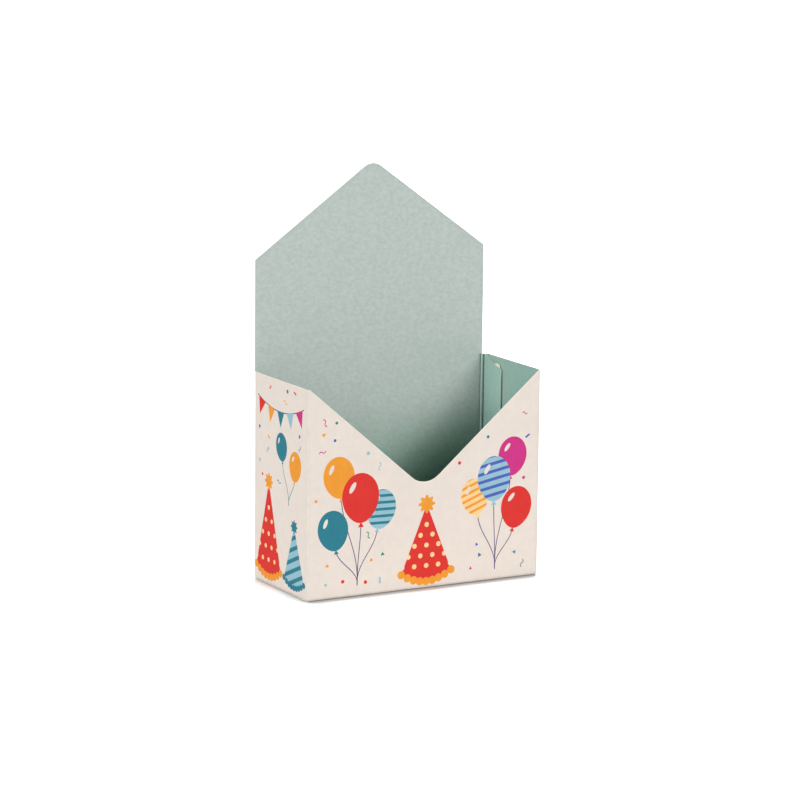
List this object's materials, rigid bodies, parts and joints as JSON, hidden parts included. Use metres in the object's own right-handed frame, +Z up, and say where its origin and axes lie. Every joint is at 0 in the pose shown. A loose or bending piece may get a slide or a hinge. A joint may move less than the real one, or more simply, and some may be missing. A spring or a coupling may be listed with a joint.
{
  "type": "gift box",
  "caption": "Open envelope-shaped gift box of folded paperboard: V-cut front wall, tall gabled back wall, glued corner and tuck-in bottom; folds flat at its creases.",
  "frame": {"origin": "centre of the box's base, on the surface that it stands on", "axes": "+Z up, towards the gable's peak; +X to the box's right as seen from the front; +Y from the V-cut front wall to the tall back wall"},
  "size_m": [0.16, 0.07, 0.2507],
  "materials": {
    "printed_board": "matt printed paperboard, cream outside and mint green inside",
    "mint_board": "matt mint green paperboard with a faint mottle",
    "dried_glue": "dried white glue"
  },
  "bodies": {
    "front_wall": {"front_panel": "printed_board"},
    "left_wall": {"left_side_panel": "printed_board"},
    "right_wall": {"right_side_panel": "printed_board", "glue_tab": "mint_board", "glue_strip_front": "dried_glue", "glue_strip_rear": "dried_glue"},
    "back_wall": {"back_panel": "mint_board"},
    "bottom": {"bottom_panel": "printed_board"},
    "tuck": {"tuck_flap": "mint_board"},
    "left_dust": {"left_dust_flap": "mint_board"},
    "right_dust": {"right_dust_flap": "mint_board"}
  },
  "joints": [
    {"name": "front_left_fold", "type": "hinge", "parent": "front_wall", "child": "left_wall", "pos_m": [-0.08, -0.035, 0], "axis": [0, 0, 1], "range_deg": [0, 88]},
    {"name": "back_left_fold", "type": "hinge", "parent": "left_wall", "child": "back_wall", "pos_m": [-0.0795, 0.0345, 0], "axis": [0, 0, -1], "range_deg": [0, 88]},
    {"name": "front_right_fold", "type": "hinge", "parent": "front_wall", "child": "right_wall", "pos_m": [0.0795, -0.0345, 0], "axis": [0, 0, 1], "range_deg": [0, 88]},
    {"name": "bottom_fold", "type": "hinge", "parent": "front_wall", "child": "bottom", "pos_m": [0, -0.035, 0], "axis": [-1, 0, 0], "range_deg": [0, 88]},
    {"name": "tuck_fold", "type": "hinge", "parent": "bottom", "child": "tuck", "pos_m": [0, 0.0337, 0.0005], "axis": [1, 0, 0], "range_deg": [0, 88]},
    {"name": "left_dust_fold", "type": "hinge", "parent": "left_wall", "child": "left_dust", "pos_m": [-0.08, 0, 0.0008], "axis": [0, 1, 0], "range_deg": [0, 88]},
    {"name": "right_dust_fold", "type": "hinge", "parent": "right_wall", "child": "right_dust", "pos_m": [0.08, 0, 0.0008], "axis": [0, -1, 0], "range_deg": [0, 88]}
  ],
  "couplings": [
    {"joint": "back_left_fold", "follows": "front_left_fold", "ratio": 1},
    {"joint": "front_right_fold", "follows": "front_left_fold", "ratio": 1},
    {"joint": "bottom_fold", "follows": "front_left_fold", "ratio": 1},
    {"joint": "tuck_fold", "follows": "front_left_fold", "ratio": 1},
    {"joint": "left_dust_fold", "follows": "front_left_fold", "ratio": 1},
    {"joint": "right_dust_fold", "follows": "front_left_fold", "ratio": 1}
  ]
}
